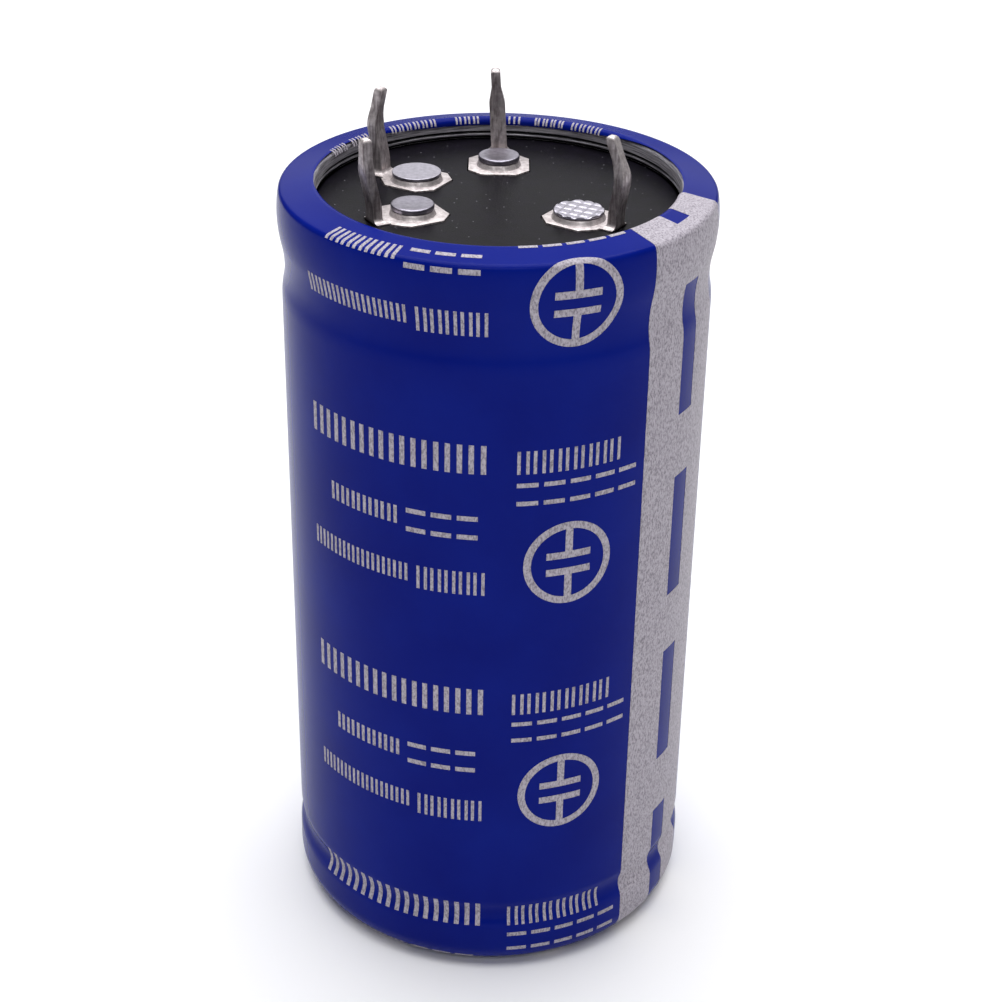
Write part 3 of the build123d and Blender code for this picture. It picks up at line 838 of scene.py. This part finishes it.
@dataclass
class Print:
    """Silver print on the film: one repeat of marks, and the stripe of the negative pole.

    Places are millimetres round the body from its front, towards +X, and millimetres along
    the film. The film was printed as a web, so the marks come back at every repeat.
    """

    surface: Surface
    repeat: float = 22.6
    first: float = 4.8
    count: int = 4
    proud: float = 0.022
    sunk: float = 0.03
    lip_margin: float = 0.05
    stripe: Point = (13.1, 24.3)
    window: Point = (17.45, 19.75)
    window_length: float = 11.4
    window_repeat: float = 17.05
    window_first: float = 0.3
    rows: tuple[MarkRow, ...] = (
        MarkRow(-17.0, -0.6, 0.0, 2.5, 9, 0.42, gap=0.5),
        MarkRow(1.8, 10.5, 0.0, 2.0, 7, 0.27, gap=0.32),
        MarkRow(1.8, 12.2, -2.8, -0.8, 5, 0.38, MarkStyle.TWIN_DASHES, 0.45),
        MarkRow(-7.1, -1.2, -5.9, -3.8, 3, 0.42, MarkStyle.TWIN_DASHES, 0.45),
        MarkRow(-14.7, -7.9, -5.4, -3.8, 6, 0.3, gap=0.32),
        MarkRow(-6.2, -0.6, -11.0, -8.9, 5, 0.26, gap=0.28),
        MarkRow(-17.1, -7.0, -10.5, -8.9, 10, 0.25, gap=0.28),
    )
    back_row: Point = (-2.6, -1.0)
    back_words: tuple[tuple[float, float, int], ...] = (
        (54.0, 65.0, 4),
        (68.0, 78.0, 4),
        (83.0, 92.0, 3),
        (97.0, 105.0, 3),
        (112.0, 129.0, 6),
        (139.0, 147.0, 3),
        (150.5, 158.5, 3),
    )
    sign: TwoPlateSign = TwoPlateSign(6.2, -8.4)
    finish: Finish = field(default_factory=SilverInk)

    def tile(self) -> bpy.types.Object:
        """One repeat of the print, flat."""
        boxes = [box for row in self.rows for box in row.boxes()] + self.sign.boxes()
        around = self.surface.profile.wall_radius
        for start, end, places in self.back_words:
            left, right = (math.radians(angle + 90) * around for angle in (start, end))
            boxes += MarkRow(left, right, *self.back_row, places, 0.2, gap=0.32).boxes()
        points, faces = self.sign.ring()
        for left, right, low, high in boxes:
            columns = max(1, round((right - left) / 0.5))
            levels = max(1, round((high - low) / 0.5))
            base = len(points)
            for i in range(columns + 1):
                for j in range(levels + 1):
                    across = left + (right - left) * i / columns
                    points.append((across, low + (high - low) * j / levels, 0.0))
            for i in range(columns):
                for j in range(levels):
                    corner = base + i * (levels + 1) + j
                    faces.append((corner, corner + levels + 1, corner + levels + 2, corner + 1))
        return mesh_object("print_tile", points, faces)

    def web(self) -> bpy.types.NodeTree:
        """A node tree that repeats a flat tile, trims it to the film and gives it thickness."""
        tree = bpy.data.node_groups.new("printed_web", "GeometryNodeTree")
        interface = tree.interface
        interface.new_socket("Geometry", in_out="INPUT", socket_type="NodeSocketGeometry")
        for name in ("Repeat", "First", "Low", "High", "Sunk", "Thickness"):
            interface.new_socket(name, in_out="INPUT", socket_type="NodeSocketFloat")
        interface.new_socket("Count", in_out="INPUT", socket_type="NodeSocketInt")
        interface.new_socket("Ink", in_out="INPUT", socket_type="NodeSocketMaterial")
        interface.new_socket("Geometry", in_out="OUTPUT", socket_type="NodeSocketGeometry")
        given = add_node(tree, "NodeGroupInput").outputs
        first = add_node(tree, "ShaderNodeCombineXYZ", inputs={"Y": given["First"]})
        step = add_node(tree, "ShaderNodeCombineXYZ", inputs={"Y": given["Repeat"]})
        line = add_node(
            tree,
            "GeometryNodeMeshLine",
            {"mode": "OFFSET"},
            {"Count": given["Count"], "Start Location": first.outputs[0], "Offset": step.outputs[0]},
        )
        placed = add_node(
            tree,
            "GeometryNodeInstanceOnPoints",
            inputs={"Points": line.outputs[0], "Instance": given["Geometry"]},
        )
        real = add_node(tree, "GeometryNodeRealizeInstances", inputs={"Geometry": placed.outputs[0]})
        finer = add_node(tree, "GeometryNodeSubdivideMesh", inputs={"Mesh": real.outputs[0], "Level": 1})
        position = add_node(tree, "GeometryNodeInputPosition")
        split = add_node(tree, "ShaderNodeSeparateXYZ", inputs={0: position.outputs[0]})
        low = add_node(
            tree,
            "FunctionNodeCompare",
            {"data_type": "FLOAT", "operation": "LESS_THAN"},
            {"A": split.outputs["Y"], "B": given["Low"]},
        )
        high = add_node(
            tree,
            "FunctionNodeCompare",
            {"data_type": "FLOAT", "operation": "GREATER_THAN"},
            {"A": split.outputs["Y"], "B": given["High"]},
        )
        beyond = add_node(
            tree,
            "FunctionNodeBooleanMath",
            {"operation": "OR"},
            {0: low.outputs["Result"], 1: high.outputs["Result"]},
        )
        kept = add_node(
            tree,
            "GeometryNodeDeleteGeometry",
            {"domain": "FACE"},
            {"Geometry": finer.outputs[0], "Selection": beyond.outputs[0]},
        )
        down = add_node(tree, "ShaderNodeCombineXYZ", inputs={"Z": given["Sunk"]})
        base = add_node(
            tree,
            "GeometryNodeSetPosition",
            inputs={"Geometry": kept.outputs[0], "Offset": down.outputs[0]},
        )
        up = add_node(tree, "ShaderNodeCombineXYZ", inputs={"Z": given["Thickness"]})
        raised = add_node(
            tree,
            "GeometryNodeExtrudeMesh",
            {"mode": "FACES"},
            {"Mesh": base.outputs[0], "Offset": up.outputs[0], "Offset Scale": 1.0, "Individual": False},
        )
        under = add_node(tree, "GeometryNodeFlipFaces", inputs={"Mesh": base.outputs[0]})
        joined = add_node(tree, "GeometryNodeJoinGeometry", inputs={0: raised.outputs["Mesh"]})
        tree.links.new(under.outputs[0], joined.inputs[0])
        merged = add_node(
            tree,
            "GeometryNodeMergeByDistance",
            inputs={"Geometry": joined.outputs[0], "Distance": 0.002 * MM},
        )
        inked = add_node(
            tree,
            "GeometryNodeSetMaterial",
            inputs={"Geometry": merged.outputs[0], "Material": given["Ink"]},
        )
        add_node(tree, "NodeGroupOutput", inputs={"Geometry": inked.outputs[0]})
        return tree

    def spread(self, flat: bpy.types.Object, count: int, repeat: float, first: float) -> bpy.types.Mesh:
        """Runs the web tree on a flat tile.

        Args:
            flat: The tile.
            count: How many repeats.
            repeat: Length of one repeat.
            first: Where the first tile's origin stands along the film.

        Returns:
            The flat print, as a plain mesh.
        """
        tree = self.web()
        modifier = flat.modifiers.new("web", "NODES")
        modifier.node_group = tree
        film = self.surface
        values = {
            "Repeat": repeat * MM,
            "First": first * MM,
            "Low": film.start * MM,
            "High": (film.end - self.lip_margin) * MM,
            "Sunk": -self.sunk * MM,
            "Thickness": (self.sunk + self.proud) * MM,
            "Count": count,
            "Ink": self.finish.material(),
        }
        for item in tree.interface.items_tree:
            if item.in_out == "INPUT" and item.name in values:
                modifier[item.identifier] = values[item.name]
        bpy.context.view_layer.update()
        seen = flat.evaluated_get(bpy.context.evaluated_depsgraph_get())
        mesh = bpy.data.meshes.new_from_object(seen)
        bpy.data.objects.remove(flat)
        return mesh

    def wrap(self, mesh: bpy.types.Mesh, name: str) -> bpy.types.Object:
        """Lays a flat print on the film.

        Args:
            mesh: The print, with millimetres round in X and along in Y.
            name: The finished piece's name.

        Returns:
            The piece, in its place.
        """
        around = self.surface.profile.wall_radius
        for vertex in mesh.vertices:
            across, along, proud = (c / MM for c in vertex.co)
            angle = across / around - math.pi / 2
            vertex.co = [c * MM for c in self.surface.place(angle, along, proud)]
        piece = bpy.data.objects.new(name, mesh)
        bpy.context.scene.collection.objects.link(piece)
        tidy(piece, 35.0)
        return piece

    def stripe_sheet(self) -> bpy.types.Object:
        """The stripe of the negative pole, flat, with its windows left open."""
        left, right = self.stripe
        columns = [left + (self.window[0] - left) * k / 12 for k in range(12)]
        columns += [self.window[0] + (self.window[1] - self.window[0]) * k / 6 for k in range(6)]
        columns += [self.window[1] + (right - self.window[1]) * k / 12 for k in range(13)]
        windows = []
        for k in range(-1, 5):
            low = self.window_first + k * self.window_repeat
            windows.append((low, low + self.window_length))
        cuts = {edge for window in windows for edge in window}
        inside = {cut for cut in cuts if self.surface.start < cut < self.surface.end}
        levels = sorted(set(self.surface.lengths) | inside)
        levels = [b for a, b in zip([-math.inf] + levels, levels) if b - a > 1e-3]
        points = [(x, y, 0.0) for y in levels for x in columns]
        faces = []
        for row in range(len(levels) - 1):
            middle = (levels[row] + levels[row + 1]) / 2
            open_here = any(low < middle < high for low, high in windows)
            for k in range(len(columns) - 1):
                centre = (columns[k] + columns[k + 1]) / 2
                if open_here and self.window[0] < centre < self.window[1]:
                    continue
                corner = row * len(columns) + k
                faces.append((corner, corner + 1, corner + len(columns) + 1, corner + len(columns)))
        return mesh_object("stripe_sheet", points, faces)

    def build(self) -> None:
        """Makes the marks and the stripe."""
        marks = self.wrap(self.spread(self.tile(), self.count, self.repeat, self.first), "print_marks")
        show(marks, "silver_ink")
        stripe = self.wrap(self.spread(self.stripe_sheet(), 1, 0.0, 0.0), "print_stripe")
        show(stripe, "silver_ink")


# ---------------------------------------------------------------- terminals


@dataclass
class Lug:
    """A stamped lug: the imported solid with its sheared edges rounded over."""

    name: str
    edge: float = 0.07
    finish: Finish = field(default_factory=TinPlate)

    def build(self) -> bpy.types.Object:
        """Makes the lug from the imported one.

        Returns:
            The lug.
        """
        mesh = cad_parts[self.name].data.copy()
        piece = bpy.data.objects.new(self.name + "_plated", mesh)
        bpy.context.scene.collection.objects.link(piece)
        work = bmesh.new()
        work.from_mesh(mesh)
        bmesh.ops.remove_doubles(work, verts=work.verts, dist=1e-4 * MM)
        bmesh.ops.dissolve_limit(work, angle_limit=math.radians(3), verts=work.verts, edges=work.edges)
        sharp = [e for e in work.edges if len(e.link_faces) == 2 and e.calc_face_angle() > math.radians(40)]
        bmesh.ops.bevel(
            work,
            geom=sharp,
            offset=self.edge * MM,
            segments=2,
            affect="EDGES",
            profile=0.5,
            clamp_overlap=True,
        )
        work.to_mesh(mesh)
        work.free()
        mesh.materials.clear()
        mesh.materials.append(self.finish.material())
        tidy(piece, 50.0)
        show(piece, "tinned_lug", self.name)
        return piece


@dataclass
class WaffledRivet:
    """The negative pole's rivet, its head struck by a tool with square pits."""

    name: str = "rivet_negative"
    angle: float = 327.0
    circle: float = 7.65
    radius: float = 2.05
    top: float = 66.78
    head: float = 0.2
    shank: float = 1.2
    tail: float = 1.8
    tail_thickness: float = 0.5
    pitch: float = 0.9
    depth: float = 0.1
    turn: float = 7.0
    finish: Finish = field(default_factory=RivetAluminium)

    def pillow(self, x: float, y: float) -> float:
        """Height of the struck face, from 0 in a groove to 1 on a square's middle."""
        turn = math.radians(self.turn)
        along = x * math.cos(turn) + y * math.sin(turn)
        across = -x * math.sin(turn) + y * math.cos(turn)
        rise = (abs(math.cos(math.pi * v / self.pitch)) for v in (along, across))
        return math.prod(1 - (1 - v) ** 2.2 for v in rise)

    def build(self) -> bpy.types.Object:
        """Makes the rivet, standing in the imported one's place.

        Returns:
            The rivet.
        """
        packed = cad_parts[self.name].data
        bottom = min(v.co.z for v in packed.vertices) / MM
        segments, rings = 96, 30
        vertices = [(0.0, 0.0, self.top)]
        faces: list[tuple[int, ...]] = []
        for ring in range(1, rings + 1):
            radius = (self.radius - 0.06) * ring / rings
            for k in range(segments):
                a = 2 * math.pi * k / segments
                x, y = radius * math.cos(a), radius * math.sin(a)
                vertices.append((x, y, self.top - self.depth * (1 - self.pillow(x, y))))
        under = self.top - self.head
        tail_top = bottom + self.tail_thickness
        outline = [(self.radius, self.top - self.depth - 0.04), (self.radius, under + 0.03)]
        outline += [(self.radius - 0.03, under), (self.shank, under), (self.shank, tail_top)]
        outline += [(self.tail, tail_top), (self.tail, bottom)]
        for radius, height in outline:
            for k in range(segments):
                a = 2 * math.pi * k / segments
                vertices.append((radius * math.cos(a), radius * math.sin(a), height))
        vertices.append((0.0, 0.0, bottom))
        count = rings + len(outline)
        for k in range(segments):
            j = (k + 1) % segments
            faces.append((0, 1 + k, 1 + j))
            for ring in range(count - 1):
                base = 1 + ring * segments
                faces.append((base + k, base + segments + k, base + segments + j, base + j))
            last = 1 + (count - 1) * segments
            faces.append((last + k, len(vertices) - 1, last + j))
        cosine, sine = math.cos(math.radians(self.angle)), math.sin(math.radians(self.angle))
        placed = []
        for x, y, z in vertices:
            out = x + self.circle
            placed.append((out * cosine - y * sine, out * sine + y * cosine, z))
        piece = mesh_object("waffled_rivet", placed, faces, 60.0)
        piece.data.materials.append(self.finish.material())
        show(piece, "rivet_aluminium", self.name)
        return piece


# ---------------------------------------------------------------- CAD nodes


@dataclass
class CarriedNodes:
    """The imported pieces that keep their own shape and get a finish."""

    finishes: dict[str, Finish] = field(
        default_factory=lambda: {
            "can": CurledAluminium(),
            "header_rubber": HeaderRubberFinish(),
            "header_board": PHENOLIC,
            "winding": ROLL,
            "winding_tape": TAPE,
            "bottom_insulator": INSULATOR,
            "top_insulator": INSULATOR,
            "tab_negative": FOIL,
            "tab_positive": FOIL,
            "rivet_support_rear": DULL_RIVET,
            "rivet_support_front": DULL_RIVET,
        }
    )

    def dress(self) -> None:
        """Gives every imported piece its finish."""
        for name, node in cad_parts.items():
            finish = self.finishes.get(name)
            if finish is None and name.startswith(("rivet_", "washer_")):
                finish = RivetAluminium()
            if finish is None:
                continue
            node.data.materials.clear()
            node.data.materials.append(finish.material())
            log.info("%s: %s", name, finish.name)


# ---------------------------------------------------------------- studio


@dataclass(frozen=True)
class Softbox:
    """One soft area light, in metres and watts, aimed at the part."""

    name: str
    place: tuple[float, float, float]
    size: tuple[float, float]
    power: float
    target: tuple[float, float, float] = (0.0, 0.0, 0.035)
    colour: str = "#FFFFFF"

    def build(self) -> bpy.types.Object:
        """Makes the light.

        Returns:
            The light object.
        """
        data = bpy.data.lights.new(self.name, "AREA")
        data.shape = "RECTANGLE"
        data.size, data.size_y = self.size
        data.energy = self.power
        data.color = srgb(self.colour)[:3]
        light = bpy.data.objects.new(self.name, data)
        bpy.context.scene.collection.objects.link(light)
        light.location = self.place
        aim = Vector(self.target) - Vector(self.place)
        light.rotation_euler = aim.to_track_quat("-Z", "Y").to_euler()
        return light


@dataclass
class Studio:
    """Floor, light and camera."""

    floor_radius: float = 1.6
    world_level: float = 0.1
    backdrop_level: float = 0.9
    lens_mm: float = 73.41
    distance: float = 0.15709
    height: float = 0.12506
    pitch: float = 0.5068
    yaw: float = 0.0037
    roll: float = 0.016
    boxes: tuple[Softbox, ...] = (
        Softbox("top_softbox", (0.0, 0.1, 0.75), (0.9, 0.8), 9.2),
        Softbox("back_softbox", (0.0, 1.2, 0.72), (1.5, 1.0), 4.4),
        Softbox("front_softbox", (0.0, -0.8, 0.85), (0.7, 0.4), 2.4),
    )

    def floor(self) -> None:
        """Makes the pale round floor."""
        edge = 96
        ring = [2 * math.pi * k / edge for k in range(edge)]
        radius = self.floor_radius / MM
        points = [(0.0, 0.0, 0.0)] + [(radius * math.cos(a), radius * math.sin(a), 0.0) for a in ring]
        faces = [(0, k + 1, (k + 1) % edge + 1) for k in range(edge)]
        floor = mesh_object("floor", points, faces)
        floor.data.materials.append(PaleFloor().material())

    def world(self) -> None:
        """Sets an even pale surround, brighter to the camera than it is as a light."""
        world = bpy.data.worlds.new("pale_surround")
        world.use_nodes = True
        ground = world.node_tree.nodes["Background"]
        ground.inputs["Color"].default_value = srgb("#FFFFFF")
        seen = add_node(world.node_tree, "ShaderNodeLightPath").outputs["Is Camera Ray"]
        reach = {"Value": seen, "To Min": self.world_level, "To Max": self.backdrop_level}
        level = add_node(world.node_tree, "ShaderNodeMapRange", inputs=reach)
        world.node_tree.links.new(level.outputs["Result"], ground.inputs["Strength"])
        bpy.context.scene.world = world
        bpy.context.scene.view_settings.view_transform = "Standard"

    def camera(self) -> None:
        """Places the camera, without shift or depth of field."""
        forward = Vector((0.0, math.cos(self.pitch), -math.sin(self.pitch)))
        right = Vector((1.0, 0.0, 0.0))
        up = Vector((0.0, math.sin(self.pitch), math.cos(self.pitch)))
        aim = forward * math.cos(self.yaw) + right * math.sin(self.yaw)
        side = right * math.cos(self.yaw) - forward * math.sin(self.yaw)
        across = side * math.cos(self.roll) + up * math.sin(self.roll)
        above = up * math.cos(self.roll) - side * math.sin(self.roll)
        data = bpy.data.cameras.new("camera")
        data.sensor_width = 36.0
        data.lens = self.lens_mm
        data.clip_start = 0.005
        camera = bpy.data.objects.new("camera", data)
        bpy.context.scene.collection.objects.link(camera)
        turn = camera.matrix_world.copy()
        for row in range(3):
            turn[row][0], turn[row][1], turn[row][2] = across[row], above[row], -aim[row]
            turn[row][3] = (0.0, -self.distance, self.height)[row]
        camera.matrix_world = turn
        bpy.context.scene.camera = camera

    def build(self) -> None:
        """Makes the whole studio."""
        self.camera()
        self.world()
        self.floor()
        for box in self.boxes:
            box.build()


def main() -> None:
    """Builds the studio and every piece."""
    logging.basicConfig(level=logging.INFO, format="%(name)s: %(message)s")
    Studio().build()
    CarriedNodes().dress()
    surface = Surface(BodyProfile())
    Sleeve(surface).build()
    Print(surface).build()
    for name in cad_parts:
        if name.startswith("lug_"):
            Lug(name).build()
    WaffledRivet().build()


if __name__ == "__main__":
    main()
